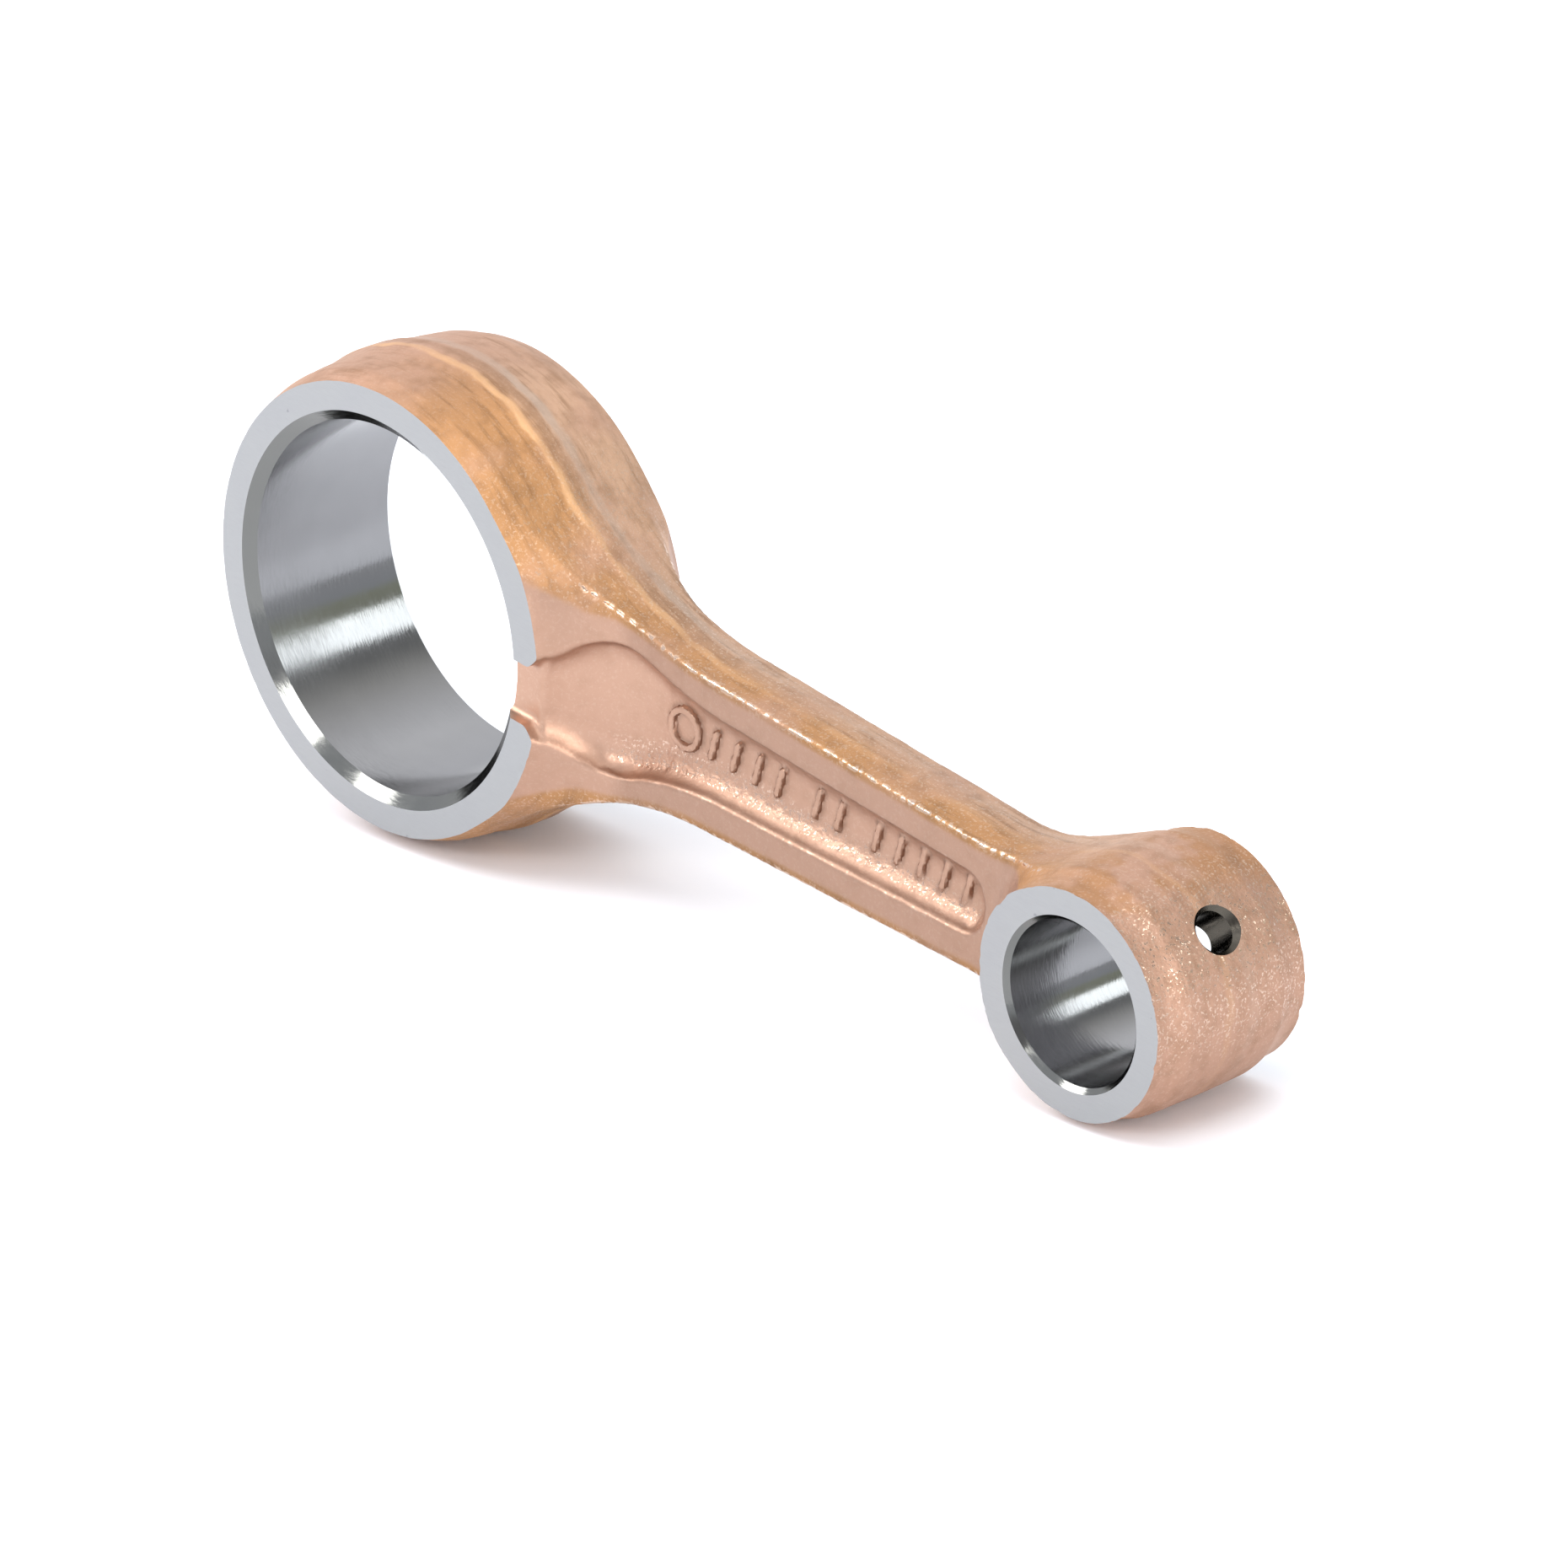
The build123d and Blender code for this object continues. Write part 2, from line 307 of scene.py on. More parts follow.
def painted_light_and_stain(points):
    """How bright the copper is, with painted light and shade: painted shade on the flange faces and beside
    the marks, staining and painted shade under the pockets' rims, and painted light in the pockets' bulbs,
    on the big end's upper side and round the small end."""
    x, y, z = points.T
    depth = abs(y)
    on_side = flow(points)[:, 2]
    from_big = np.degrees(np.arctan2(z, x))
    # painted light: the big end's upper side and the small end are brightened
    painted_light = 0.22 * step(from_big, 10, 30) * step(from_big, 90, 60) * step(x, 30, 20) + 0.1 * step(x, 82, 90)
    painted_light = painted_light + 0.1 * step(from_big, 75, 100)
    top = flange_top(depth, np.hypot(x, z), np.hypot(x - CENTRES, z))
    # painted shade: the flange faces are darkened
    flange = step(top, -0.5, -0.15) * step(depth, 4.6, 3.9)
    # painted light: the pockets' bulbs are brightened
    sunk = step(top, -0.4, -0.9)
    bulb = step(np.hypot(np.maximum(x - POCKET["near"][0], 0), z), 8, 4) * sunk
    # staining and painted shade: darker under the pockets' rims
    from_rim = outline(x, z, **POCKET) - POCKET_DRAFT * (depth - POCKET_FLOOR)
    crevice_stain_and_shade = step(from_rim, -0.8, -0.35) * step(from_rim, 0.3, 0.1)
    crevice_stain_and_shade = crevice_stain_and_shade * step(top, -0.1, -0.3) * step(x, 25, 29)
    # painted shade beside the marks
    shade_beside_marks = step(abs(marks(x, z) - 0.12), 0.35, 0.1) * step(depth, 3.4, 3.0) * (y < 0)
    overlay = np.maximum(0.22 * shade_beside_marks, 0.28 * crevice_stain_and_shade)
    return (1 + painted_light * on_side - 0.17 * flange + 0.09 * bulb) * (1 - overlay)


def relief(points):
    """Height of the forged skin over its nominal surface: waves, scale marks, flow lines and pits."""
    x = points[:, 0]
    along, y, on_side = flow(points).T
    rough = coarseness(points)

    def noise(size, seed, where=points):
        return lattice_noise(where, size, seed)

    waves = 0.025 * noise(3.1, 1) + (0.01 + 0.025 * rough) * noise(1.3, 2)
    grain = (0.005 + 0.035 * rough) * noise(0.62, 3)
    pits = -0.14 * np.maximum(noise(0.95, 4) - 0.5, 0)
    drawn = np.stack((along * 0.13, y, np.zeros(len(y))), axis=1)
    lines = 0.028 * noise(0.62, 5, drawn) * (0.5 + noise(7.0, 6))
    lines = lines * step(x, 92, 84) * step(x, -14, 4)
    edge_pits = -0.3 * np.maximum(noise(0.7, 7) - 0.1, 0) * step(SMALL_HALF - abs(y), 0.9, 0.3)
    return waves + grain + pits + lines * on_side + edge_pits * step(x, 70, 80)


# ---------------------------------------------------------------- meshing
def axis_points(stretches):
    """Grid lines along one axis from (start, end, spacing) stretches that follow each other."""
    parts = [np.arange(start, end - spacing / 2, spacing) for start, end, spacing in stretches]
    return np.concatenate(parts + [[stretches[-1][1]]])


def surface_net(values, xs, ys, zs):
    """Vertices and quads of the zero surface of a field sampled on a rectangular grid."""
    axes = (xs, ys, zs)
    inside = values < 0
    cells = tuple(n - 1 for n in values.shape)
    total = np.zeros(cells + (3,))
    count = np.zeros(cells)
    crossings = []
    for axis in range(3):
        near = [slice(None)] * 3
        far = [slice(None)] * 3
        near[axis], far[axis] = slice(0, -1), slice(1, None)
        a, b = values[tuple(near)], values[tuple(far)]
        crossed = inside[tuple(near)] != inside[tuple(far)]
        at = np.argwhere(crossed)
        t = a[crossed] / (a[crossed] - b[crossed])
        point = np.stack([axes[k][at[:, k]] for k in range(3)], axis=1)
        point[:, axis] += t * (axes[axis][at[:, axis] + 1] - axes[axis][at[:, axis]])
        crossings.append((axis, at, inside[tuple(near)][crossed]))
        others = [k for k in range(3) if k != axis]
        for back in np.ndindex(2, 2):
            cell = at.copy()
            cell[:, others] -= back
            keep = np.all((cell >= 0) & (cell < cells), axis=1)
            index = tuple(cell[keep].T)
            np.add.at(total, index, point[keep])
            np.add.at(count, index, 1)
    used = count > 0
    vertices = total[used] / count[used][:, None]
    number = np.full(cells, -1)
    number[used] = np.arange(len(vertices))
    quads = []
    for axis, at, starts_inside in crossings:
        u, v = (axis + 1) % 3, (axis + 2) % 3
        ring = []
        for du, dv in ((-1, -1), (0, -1), (0, 0), (-1, 0)):
            cell = at.copy()
            cell[:, u] += du
            cell[:, v] += dv
            ring.append(number[tuple(cell.T)])
        quad = np.stack(ring, axis=1)
        quad[~starts_inside] = quad[~starts_inside][:, ::-1]
        quads.append(quad)
    return vertices, np.concatenate(quads)


def settle(points, field):
    """Moves points onto the zero surface of field, by its slope."""
    rounds, reach, longest_move, least_slope = 4, 0.02, 0.15, 0.5
    for _ in range(rounds):
        here = field(points)
        slope = np.empty_like(points)
        for axis in range(3):
            offset = np.zeros(3)
            offset[axis] = reach
            slope[:, axis] = (field(points + offset) - field(points - offset)) / (2 * reach)
        size = np.maximum(np.sum(slope * slope, axis=1), least_slope ** 2)
        move = -slope * (here / size)[:, None]
        too_long = np.maximum(np.linalg.norm(move, axis=1) / longest_move, 1)
        points = points + move / too_long[:, None]
    return points


def in_scene(name, data):
    """An object of this mesh, light or camera, in the scene."""
    obj = bpy.data.objects.new(name, data)
    bpy.context.scene.collection.objects.link(obj)
    return obj


def mesh_object(name, vertices, faces):
    """A mesh from points in millimetres."""
    mesh = bpy.data.meshes.new(name)
    mesh.from_pydata((np.asarray(vertices) * MM).tolist(), [], faces)
    return in_scene(name, mesh)


def forging_mesh():
    """The forging's surface with its relief, on a grid that is finest along the shank."""
    margin = 0.9
    fine, coarse = ((0.295, 0.44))
    shank_end = CENTRES - SMALL_R - 1
    shank_half = 9.0
    xs = axis_points((
        (low.x - margin, BIG_BORE_R, coarse), (BIG_BORE_R, shank_end, fine),
        (shank_end, high.x + margin, (fine + coarse) / 2),
    ))
    top = SMALL_HALF + MACHINING_ALLOWANCE + margin
    ys = axis_points(((-top, top, fine),))
    zs = axis_points((
        (low.z - margin, -shank_half, coarse), (-shank_half, shank_half, fine),
        (shank_half, high.z + margin, coarse),
    ))
    x, y, z = (a.astype(np.float32) for a in np.meshgrid(xs, ys, zs, indexing="ij", sparse=True))
    vertices, quads = surface_net(forging(x, y, z), xs, ys, zs)
    vertices = settle(vertices, lambda p: forging(*p.T) - relief(p))
    return mesh_object("connecting_rod_skin", vertices, quads.tolist())


def turned(name, profile, segments, place):
    """A closed solid of revolution about its own Z axis from (radius, height) points, lowest first."""
    angles = np.arange(segments) * 2 * pi / segments
    round_x, round_y = np.cos(angles), np.sin(angles)
    rings = [np.stack([r * round_x, r * round_y, np.full(segments, h)], axis=1) for r, h in profile]
    vertices = np.concatenate(rings)
    faces = [list(range(segments))[::-1]]
    for level in range(len(profile) - 1):
        start = level * segments
        for i in range(segments):
            j = (i + 1) % segments
            faces.append([start + i, start + j, start + segments + j, start + segments + i])
    faces.append(list(range(len(vertices) - segments, len(vertices))))
    obj = mesh_object(name, vertices, faces)
    obj.data.transform(place)
    return obj


def bore_cutter(name, centre_x, bore_r, half, chamfer, chamfer_depth):
    """A bore with a chamfer at each mouth."""
    segments = 256
    wide = bore_r + chamfer * (1 + OVER / chamfer_depth)
    profile = [
        (wide, -half - OVER), (bore_r, -half + chamfer_depth),
        (bore_r, half - chamfer_depth), (wide, half + OVER),
    ]
    place = Matrix.Translation((centre_x * MM, 0, 0)) @ Matrix.Rotation(pi / 2, 4, "X")
    return turned(name, profile, segments, place)


def face_cutter(name, x_from, x_to, half):
    """Two slabs that leave a stretch of the rod this wide."""
    reach = 2 * BIG_R
    thick = 2 * OVER
    vertices, faces = [], []
    for side in (-1, 1):
        base = len(vertices)
        for y in sorted((side * half, side * (half + thick))):
            vertices += [(x_from, y, -reach), (x_to, y, -reach), (x_to, y, reach), (x_from, y, reach)]
        quads = ((0, 1, 2, 3), (7, 6, 5, 4), (0, 4, 5, 1), (1, 5, 6, 2), (2, 6, 7, 3), (3, 7, 4, 0))
        faces += [[base + i for i in quad] for quad in quads]
    return mesh_object(name, vertices, faces)


def oil_cutter(name):
    """The oil hole with its countersink, from inside the small bore outwards."""
    segments = 96
    flare = (OIL_MOUTH_R - OIL_R) / OIL_MOUTH_DEPTH
    profile = [
        (OIL_R, 0.0), (OIL_R, SMALL_R - OIL_MOUTH_DEPTH),
        (OIL_MOUTH_R + OVER * flare, SMALL_R + OVER),
    ]
    turn = Matrix.Rotation(pi / 2 - OIL_ANGLE, 4, "Y")
    return turned(name, profile, segments, Matrix.Translation((CENTRES * MM, 0, 0)) @ turn)


def machine(rod, cutters):
    """Cuts the cutters out of the rod and removes them."""
    for cutter in cutters:
        cut = rod.modifiers.new(cutter.name, "BOOLEAN")
        cut.operation = "DIFFERENCE"
        cut.solver = "MANIFOLD"
        cut.object = cutter
    depsgraph = bpy.context.evaluated_depsgraph_get()
    mesh = bpy.data.meshes.new_from_object(rod.evaluated_get(depsgraph))
    rod.modifiers.clear()
    rod.data = mesh
    for cutter in cutters:
        bpy.data.objects.remove(cutter)


rod = forging_mesh()
middle = CENTRES / 2
beyond = 5.0                   # past each end of the rod
machine(rod, [
    face_cutter("big_faces", low.x - beyond, middle, BIG_HALF),
    face_cutter("small_faces", middle + 1, high.x + beyond, SMALL_HALF),
    bore_cutter("big_bore", 0, BIG_BORE_R, BIG_HALF, BIG_CHAMFER, BIG_CHAMFER_DEPTH),
    bore_cutter("small_bore", CENTRES, SMALL_BORE_R, SMALL_HALF, SMALL_CHAMFER, SMALL_CHAMFER_DEPTH),
    oil_cutter("oil_hole"),
])


# ---------------------------------------------------------------- surfaces
class Nodes:
    """A small helper that adds nodes to one tree and links them."""

    def __init__(self, tree):
        self.tree = tree

    def add(self, kind, settings=None, **inputs):
        """A node with its inputs given by name, or as i0, i1 and so on by number."""
        node = self.tree.nodes.new(kind)
        for key, value in (settings or {}).items():
            setattr(node, key, value)
        for key, value in inputs.items():
            self.put(node.inputs[int(key[1:]) if key[1:].isdigit() else key.replace("_", " ")], value)
        return node

    def put(self, socket, value):
        """Links a socket to an input, or sets the input to a plain value."""
        if isinstance(value, bpy.types.NodeSocket):
            self.tree.links.new(value, socket)
        else:
            socket.default_value = value

    def math(self, operation, a, b=0.0):
        return self.add("ShaderNodeMath", {"operation": operation}, i0=a, i1=b).outputs[0]

    def part(self, a, b, amount=1.0):
        return self.math("MULTIPLY", self.math("MULTIPLY", a, b), amount)

    def ramp(self, value, low, high, out_low=0.0, out_high=1.0):
        """out_low where value is low, out_high where it is high, smooth between."""
        node = self.add("ShaderNodeMapRange", {"interpolation_type": "SMOOTHSTEP"}, Value=value)
        for index, number in enumerate((low, high, out_low, out_high), start=1):
            self.put(node.inputs[index], number)
        return node.outputs[0]

    def mix(self, factor, a, b):
        """Colour a, or b where factor is 1."""
        return self.add("ShaderNodeMix", {"data_type": "RGBA"}, i0=factor, i6=a, i7=b).outputs[2]

    def noise(self, where, size_mm, detail=2.0, roughness=0.5):
        """Noise with features about this many millimetres across."""
        node = self.add("ShaderNodeTexNoise", Vector=where, Scale=1 / (size_mm * MM), Detail=detail,
                        Roughness=roughness)
        return node.outputs[0]

    def vector_math(self, operation, output, **inputs):
        return self.add("ShaderNodeVectorMath", {"operation": operation}, **inputs).outputs[output]

    def stretched(self, where, factors):
        return self.vector_math("MULTIPLY", 0, i0=where, i1=factors)

    def bump(self, height, depth_mm, normal=None, strength=1.0):
        node = self.add("ShaderNodeBump", Height=height, Distance=depth_mm * MM, Strength=strength)
        if normal is not None:
            self.put(node.inputs["Normal"], normal)
        return node.outputs[0]


def metal(name):
    """A metal material, its nodes, its shader and the place on the piece."""
    material = bpy.data.materials.new(name)
    material.use_nodes = True
    tree = material.node_tree
    shader = tree.nodes["Principled BSDF"]
    shader.inputs["Metallic"].default_value = 1.0
    nodes = Nodes(tree)
    where = nodes.add("ShaderNodeTexCoord").outputs["Object"]
    return material, nodes, shader, where


def copper_skin():
    """Copper flash over the forged skin: pink, browner on the drafted sides, with stained flow lines, pale
    specks painted as sparkle, a painted highlight and a painted reflection along the parting ridge, and
    rubbed edges."""
    material, nodes, shader, where = metal("copper_skin")
    part, ramp, mix, noise = nodes.part, nodes.ramp, nodes.mix, nodes.noise

    def attribute(name, output="Fac"):
        return nodes.add("ShaderNodeAttribute", {"attribute_name": name}).outputs[output]

    pink, orange, buff = (0.455, 0.28, 0.20, 1), (0.45, 0.245, 0.115, 1), (0.53, 0.345, 0.235, 1)
    brown, pale, sky_reflection_grey = (0.22, 0.115, 0.055, 1), (0.66, 0.515, 0.415, 1), (0.46, 0.38, 0.32, 1)
    rusty, highlight_gold, bare = (0.37, 0.19, 0.08, 1), (0.70, 0.44, 0.24, 1), (0.8, 0.6, 0.47, 1)
    follow = attribute("flow", "Vector")
    coarse = attribute("coarse")
    edge = attribute("burnish")
    split = nodes.add("ShaderNodeSeparateXYZ", Vector=follow)
    along, across, side = (split.outputs[axis] for axis in "XYZ")
    broad = noise(where, 9, 3.0)

    # stains on the drafted sides: orange on the marked half, buff on the other, rusty by the small end
    before_small = ramp(along, 84, 97, 1.0, 0.0)
    overlay = part(part(side, before_small), ramp(along, -12, 6, 0.1, 1.0))
    stained = mix(ramp(across, 1.2, -2.2), buff, orange)
    colour = mix(part(overlay, ramp(broad, 0.25, 0.55, 0.3, 1.0)), pink, stained)
    rust = part(ramp(along, 84, 92), ramp(along, 104, 98))
    rust = part(part(side, rust), ramp(noise(where, 7, 3.0, 0.6), 0.42, 0.58), 0.7)
    colour = mix(rust, colour, rusty)

    # brown streaks along the sides, and brown patches everywhere
    lines = noise(nodes.stretched(follow, (0.1, 1, 0)), 900, 4.0, 0.62)
    streaks = part(part(side, ramp(lines, 0.48, 0.66)), ramp(broad, 0.3, 0.6), 0.5)
    colour = mix(part(streaks, ramp(along, 80, 95, 1.0, 0.25)), colour, brown)
    patches = ramp(noise(where, 2.4, 3.0, 0.6), 0.45, 0.7)
    colour = mix(part(patches, ramp(side, 0, 1, 0.12, 0.3)), colour, brown)

    # three lines along the parting ridge, strongest on the big end: a brown stripe, a painted reflection of
    # the sky and a painted highlight
    on_ridge = nodes.math("MULTIPLY", side, ramp(along, 26, 48, 1.0, 0.25))
    on_ridge = nodes.math("MULTIPLY", on_ridge, ramp(broad, 0.3, 0.6, 0.35, 1.0))
    wander = nodes.math("ADD", across, ramp(noise(where, 5, 2.0), 0.3, 0.7, -0.35, 0.35))
    ridge_lines = ((0.4, 0.9, 0.45, brown), (1.8, 1.0, 0.5, sky_reflection_grey), (-1.1, 0.6, 0.6, highlight_gold))
    for centre, half_width, strength, tint in ridge_lines:
        off = nodes.math("ABSOLUTE", nodes.math("SUBTRACT", wander, centre))
        line = ramp(off, 0.3 * half_width, half_width, strength, 0)
        colour = mix(nodes.math("MULTIPLY", line, on_ridge), colour, tint)

    # pale specks, painted sparkle, and shiny facets where the skin is coarse, and rubbed edges
    fine = noise(where, 0.3, 2.0, 0.6)
    colour = mix(part(part(ramp(fine, 0.5, 0.7), coarse), 0.6), colour, pale)
    facets = part(ramp(fine, 0.53, 0.66), ramp(coarse, 0.15, 0.7))
    broken = nodes.math("ADD", noise(where, 0.7, 1.0), nodes.math("MULTIPLY", edge, 0.16))
    rubbed = nodes.math("MULTIPLY", edge, ramp(broken, 0.56, 0.7))
    colour = mix(part(rubbed, 0.8), colour, bare)
    # the copper is brightened and darkened here by painted light and shade, and darkened by staining under
    # the pockets' rims
    colour = nodes.vector_math("SCALE", 0, i0=colour, Scale=attribute("painted_light_and_stain"))
    nodes.put(shader.inputs["Base Color"], colour)

    matt = ramp(side, 0.0, 1.0, 0.45, 0.6)
    glossy = nodes.math("MAXIMUM", nodes.math("MULTIPLY", facets, 0.82), rubbed)
    nodes.put(shader.inputs["Roughness"], ramp(glossy, 0.0, 1.0, matt, 0.14))
    bumps = nodes.bump(noise(where, 0.9, 2.0), 0.12, strength=coarse)
    bumps = nodes.bump(noise(where, 0.36, 1.0), 0.06, bumps, coarse)
    nodes.put(shader.inputs["Normal"], bumps)
    return material


def ground_face():
    """Bare steel ring faces: satin, with a fine ground lay and small dark specks."""
    material, nodes, shader, where = metal("ground_face")
    lay = nodes.noise(nodes.stretched(where, (0.12, 1, 1)), 0.16, 2.0)
    blotch = nodes.noise(where, 6, 2.0)
    speck = nodes.ramp(nodes.noise(where, 0.9, 1.0), 0.78, 0.84)
    colour = nodes.mix(blotch, (0.334, 0.332, 0.335, 1), (0.355, 0.353, 0.345, 1))
    colour = nodes.mix(nodes.math("MULTIPLY", speck, 0.6), colour, (0.2, 0.2, 0.21, 1))
    nodes.put(shader.inputs["Base Color"], colour)
    nodes.put(shader.inputs["Roughness"], nodes.ramp(lay, 0.2, 0.8, 0.3, 0.42))
    nodes.put(shader.inputs["Normal"], nodes.bump(lay, 0.008))
    return material


def honed_bore(name, base, roughness, haze=0.0):
    """Bare steel, honed nearly to a mirror, with fine marks round it and haze towards the marked face."""
    material, nodes, shader, where = metal(name)
    marks_round = nodes.noise(nodes.stretched(where, (0.15, 1, 0.15)), 0.2, 3.0)
    blotch = nodes.noise(where, 4, 2.0)
    colour = nodes.mix(blotch, [c * 0.94 for c in base] + [1], [c * 1.04 for c in base] + [1])
    nodes.put(shader.inputs["Base Color"], colour)
    worn = nodes.ramp(marks_round, 0.2, 0.8, roughness, roughness + 0.09)
    y = nodes.add("ShaderNodeSeparateXYZ", Vector=where).outputs["Y"]
    hazy = nodes.ramp(y, 1 * MM, -6 * MM, 0.0, haze)
    nodes.put(shader.inputs["Roughness"], nodes.math("ADD", worn, hazy))
    waves = nodes.bump(nodes.noise(nodes.stretched(where, (1, 0.4, 1)), 3.5, 1.0), 0.012)
    nodes.put(shader.inputs["Normal"], nodes.bump(marks_round, 0.008, waves))
    return material


SKIN, FACE, BORE, CHAMFER, OIL = range(5)     # the material slots, in this order


def surface_kinds(mesh):
    """Which finish each polygon has, from where it lies."""
    count = len(mesh.polygons)
    centre = np.empty(count * 3)
    normal = np.empty(count * 3)
    mesh.polygons.foreach_get("center", centre)
    mesh.polygons.foreach_get("normal", normal)
    x, y, z = centre.reshape(-1, 3).T / MM
    nx, ny, nz = normal.reshape(-1, 3).T
    kinds = np.full(count, SKIN)
    near = 0.06
    chamfer_zone = 1.1             # how deep below a face a chamfer may lie
    ends = ((0, BIG_BORE_R, BIG_CHAMFER, BIG_HALF), (CENTRES, SMALL_BORE_R, SMALL_CHAMFER, SMALL_HALF))
    for centre_x, bore_r, chamfer, half in ends:
        radius = np.hypot(x - centre_x, z)
        inward = -((x - centre_x) * nx + z * nz) / radius
        beside = abs(x - centre_x) < CENTRES / 2
        sloping = (inward > 0.3) & (abs(ny) > 0.5) & (abs(y) > half - chamfer_zone)
        kinds[beside & (abs(abs(y) - half) < near / 4) & (abs(ny) > 0.999)] = FACE
        kinds[(radius < bore_r + near) & (inward > 0.95) & (abs(ny) < 0.01)] = BORE
        kinds[(radius < bore_r + chamfer + near) & sloping] = CHAMFER
    out = np.array((cos(OIL_ANGLE), 0, sin(OIL_ANGLE)))
    from_axis = np.stack((x - CENTRES, y, z), axis=1)
    along = from_axis @ out
    across = np.linalg.norm(from_axis - np.outer(along, out), axis=1)
    inside = (along > SMALL_BORE_R - 1) & (across < OIL_MOUTH_R + near / 2)
    outward = abs(np.stack((nx, ny, nz), axis=1) @ out) > 0.9
    kinds[(kinds != BORE) & inside & ~outward] = OIL
    return kinds


rod.data.materials.clear()
for material in (
    copper_skin(),
    ground_face(),
    honed_bore("honed_bore", (0.262, 0.26, 0.264), 0.07, haze=0.09),
    # the chamfers' steel is darker than the bore's: painted shade
    honed_bore("turned_chamfer_painted_shade", (0.17, 0.17, 0.16), 0.09),
    # the oil hole's steel is nearly black: painted shade inside the hole
    honed_bore("drilled_oil_hole_painted_shade", (0.09, 0.08, 0.065), 0.2),
):
    rod.data.materials.append(material)
rod.data.polygons.foreach_set("material_index", surface_kinds(rod.data))
places = np.empty(len(rod.data.vertices) * 3)
rod.data.vertices.foreach_get("co", places)
places = places.reshape(-1, 3) / MM
attributes = rod.data.attributes
attributes.new("flow", "FLOAT_VECTOR", "POINT").data.foreach_set("vector", flow(places).ravel())
for name, weigh in (("burnish", burnish), ("coarse", coarseness), ("painted_light_and_stain", painted_light_and_stain)):
    attributes.new(name, "FLOAT", "POINT").data.foreach_set("value", weigh(places))
rod.data.shade_smooth()
rod.data.set_sharp_from_angle(angle=radians(38))
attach(rod, "root")
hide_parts("connecting_rod")

# ---------------------------------------------------------------- floor
# A plane that touches both ends, as the rod would stand on it.
floor_normal = Vector((-(BIG_R - SMALL_R) / CENTRES, 0, 0))
floor_normal.z = sqrt(1 - floor_normal.x ** 2)
floor_turn = floor_normal.to_track_quat("Z", "Y").to_matrix().to_4x4()
contact = Vector((middle * MM, 0, 0))
contact -= floor_normal * (contact.dot(floor_normal) + BIG_R * MM)


def floor_material():
    """Pale paper, seen only from above."""
    material = bpy.data.materials.new("floor")
    material.use_nodes = True
    nodes = Nodes(material.node_tree)
    shader = material.node_tree.nodes["Principled BSDF"]
    shader.inputs["Base Color"].default_value = (0.93, 0.945, 0.985, 1)
    shader.inputs["Roughness"].default_value = 0.6
    below = nodes.add("ShaderNodeNewGeometry").outputs["Backfacing"]
    clear = nodes.add("ShaderNodeBsdfTransparent").outputs[0]
    seen = nodes.add("ShaderNodeMixShader", i0=below, i1=shader.outputs[0], i2=clear).outputs[0]
    nodes.put(material.node_tree.nodes["Material Output"].inputs["Surface"], seen)
    return material


FLOOR_REACH = 1.2
floor_mesh = bpy.data.meshes.new("floor")
corners = [(FLOOR_REACH * i, FLOOR_REACH * j, 0) for i, j in ((-1, -1), (1, -1), (1, 1), (-1, 1))]
floor_mesh.from_pydata(corners, [], [(0, 1, 2, 3)])
floor_mesh.materials.append(floor_material())
floor = in_scene("floor", floor_mesh)
floor.matrix_world = Matrix.Translation(contact) @ floor_turn

# ---------------------------------------------------------------- light
STUDIO = 1.2                   # how bright everything below is


def softbox(name, direction, distance, size, radiance, colour=(1, 1, 1)):
    """A rectangular light that faces the rod from this direction, this bright against white paper."""
    data = bpy.data.lights.new(name, "AREA")
    data.shape = "RECTANGLE"
    data.size, data.size_y = size
    data.energy = STUDIO * radiance * pi * size[0] * size[1]
    data.color = colour
    direction = Vector(direction).normalized()
    turn = direction.to_track_quat("Z", "Y").to_matrix().to_4x4()
    in_scene(name, data).matrix_world = Matrix.Translation(contact + direction * distance) @ turn


softbox("back_right", (0.572, 0.628, 0.528), 2.3, (0.52, 0.54), 3.0, (0.93, 0.99, 1))
softbox("front", (0.0, -0.82, 0.55), 1.4, (0.6, 0.3), 8)
softbox("left", (-0.74, -0.4, 0.54), 1.3, (0.72, 0.42), 7)
softbox("overhead", (0.1, -0.15, 0.98), 1.2, (0.9, 0.7), 1.6)
softbox("right", (0.88, -0.15, 0.45), 1.4, (0.6, 0.5), 6)


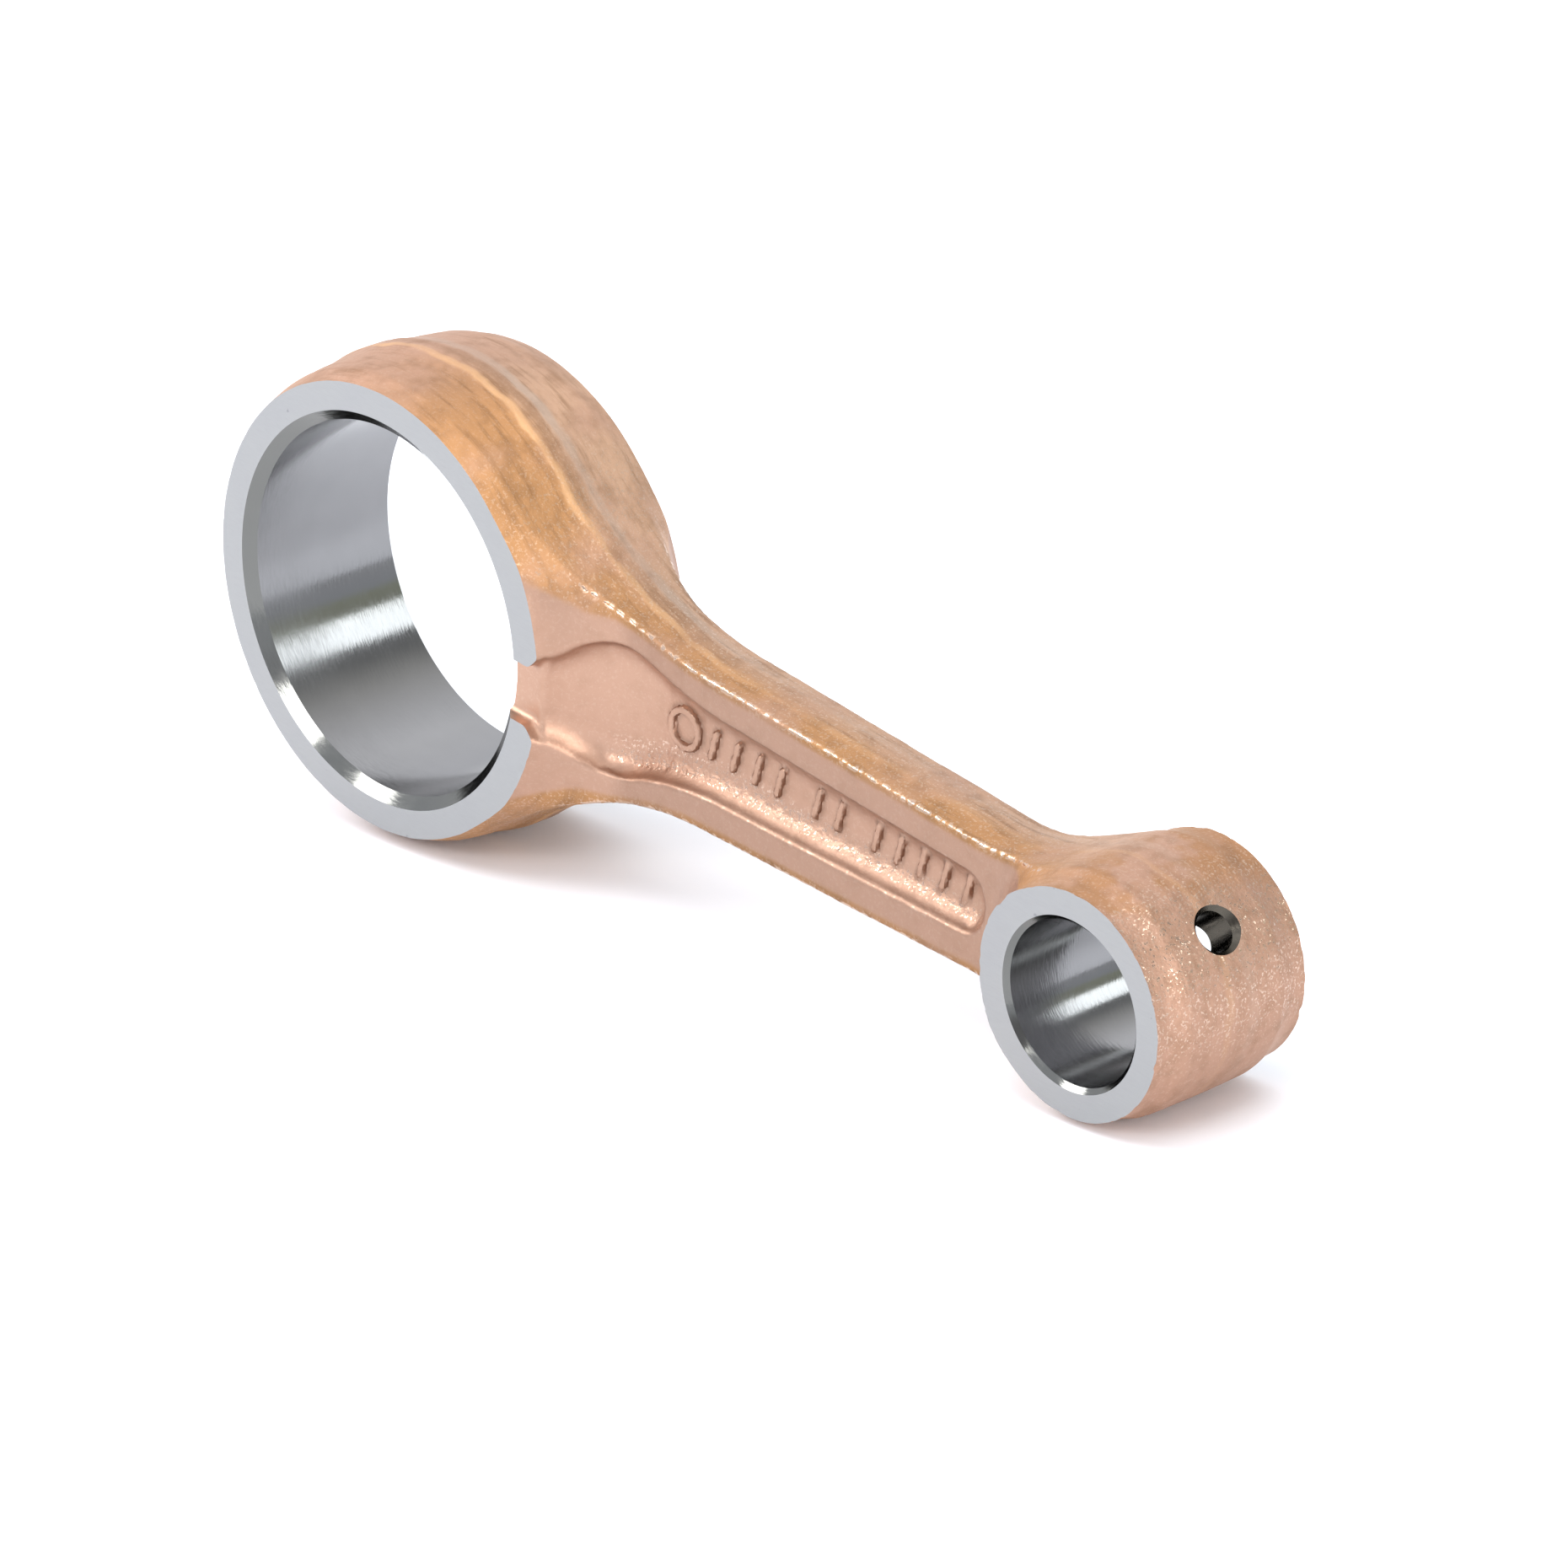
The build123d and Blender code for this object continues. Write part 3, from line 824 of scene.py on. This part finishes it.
def studio_world():
    """The studio above the floor: dim to the back right, bright to the back left and the front, dark
    round the camera, and plain white as a backdrop."""
    world = bpy.data.worlds.new("studio")
    bpy.context.scene.world = world
    world.use_nodes = True
    nodes = Nodes(world.node_tree)
    direction = nodes.add("ShaderNodeTexCoord").outputs["Generated"]

    def towards(axis):
        return nodes.vector_math("DOT_PRODUCT", "Value", i0=direction, i1=axis)

    def by_height(stops):
        """Colours at these heights over the floor, from 0 at the horizon to 1 overhead."""
        node = nodes.add("ShaderNodeValToRGB", i0=nodes.math("MAXIMUM", towards(floor_normal), 0.0))
        ramp = node.color_ramp.elements
        ramp[0].position, ramp[0].color = 0.0, stops[0][1] + (1,)
        ramp[1].position, ramp[1].color = 1.0, stops[-1][1] + (1,)
        for position, colour in stops[1:-1]:
            ramp.new(position).color = colour + (1,)
        return node.outputs[0]

    right = by_height((
        (0, (0.6, 0.62, 0.65)), (0.17, (0.55, 0.58, 0.62)), (0.2, (0.5, 0.53, 0.42)),
        (0.38, (0.42, 0.44, 0.38)), (0.41, (0.36, 0.38, 0.4)), (0.64, (0.34, 0.35, 0.35)),
        (0.76, (0.62, 0.62, 0.59)), (1, (1.0, 1.0, 0.98)),
    ))
    left = by_height((
        (0, (0.85, 0.87, 0.9)), (0.3, (0.9, 0.92, 0.97)), (0.5, (1.1, 1.12, 1.17)),
        (0.75, (1.3, 1.32, 1.36)), (1, (0.9, 0.92, 0.97)),
    ))
    front, behind_camera = (0.88, 0.92, 1.0, 1), (0.4, 0.4, 0.43, 1)
    back = nodes.mix(nodes.ramp(towards((1, 0, 0)), -0.45, 0.42), left, right)
    around = nodes.mix(nodes.ramp(towards((0, 1, 0)), -0.35, 0.1), front, back)
    around = nodes.mix(nodes.ramp(towards((0.5, -0.64, 0.58)), 0.9, 0.97), around, behind_camera)
    seen = nodes.add("ShaderNodeLightPath").outputs["Is Camera Ray"]
    background = world.node_tree.nodes["Background"]
    nodes.put(background.inputs["Color"], nodes.mix(seen, around, (1 / STUDIO,) * 3 + (1,)))
    background.inputs["Strength"].default_value = STUDIO


studio_world()
bpy.context.scene.view_settings.view_transform = "Standard"

# ---------------------------------------------------------------- camera
camera_data = bpy.data.cameras.new("camera")
camera_data.lens = 194.03
camera_data.sensor_width = 36
camera_data.clip_start = 0.05
camera_data.clip_end = 20
camera = in_scene("camera", camera_data)
bpy.context.scene.camera = camera
AZIMUTH, ELEVATION, ROLL = radians(44.888), radians(28.04), radians(4.213)
TARGET = Vector((47.97, 0, -1.13)) * MM
DISTANCE = 795.1 * MM
back = Vector((sin(AZIMUTH) * cos(ELEVATION), -cos(AZIMUTH) * cos(ELEVATION), sin(ELEVATION)))
aim = (-back).to_track_quat("-Z", "Y").to_matrix().to_4x4()
camera.matrix_world = Matrix.Translation(TARGET + back * DISTANCE) @ aim @ Matrix.Rotation(ROLL, 4, "Z")
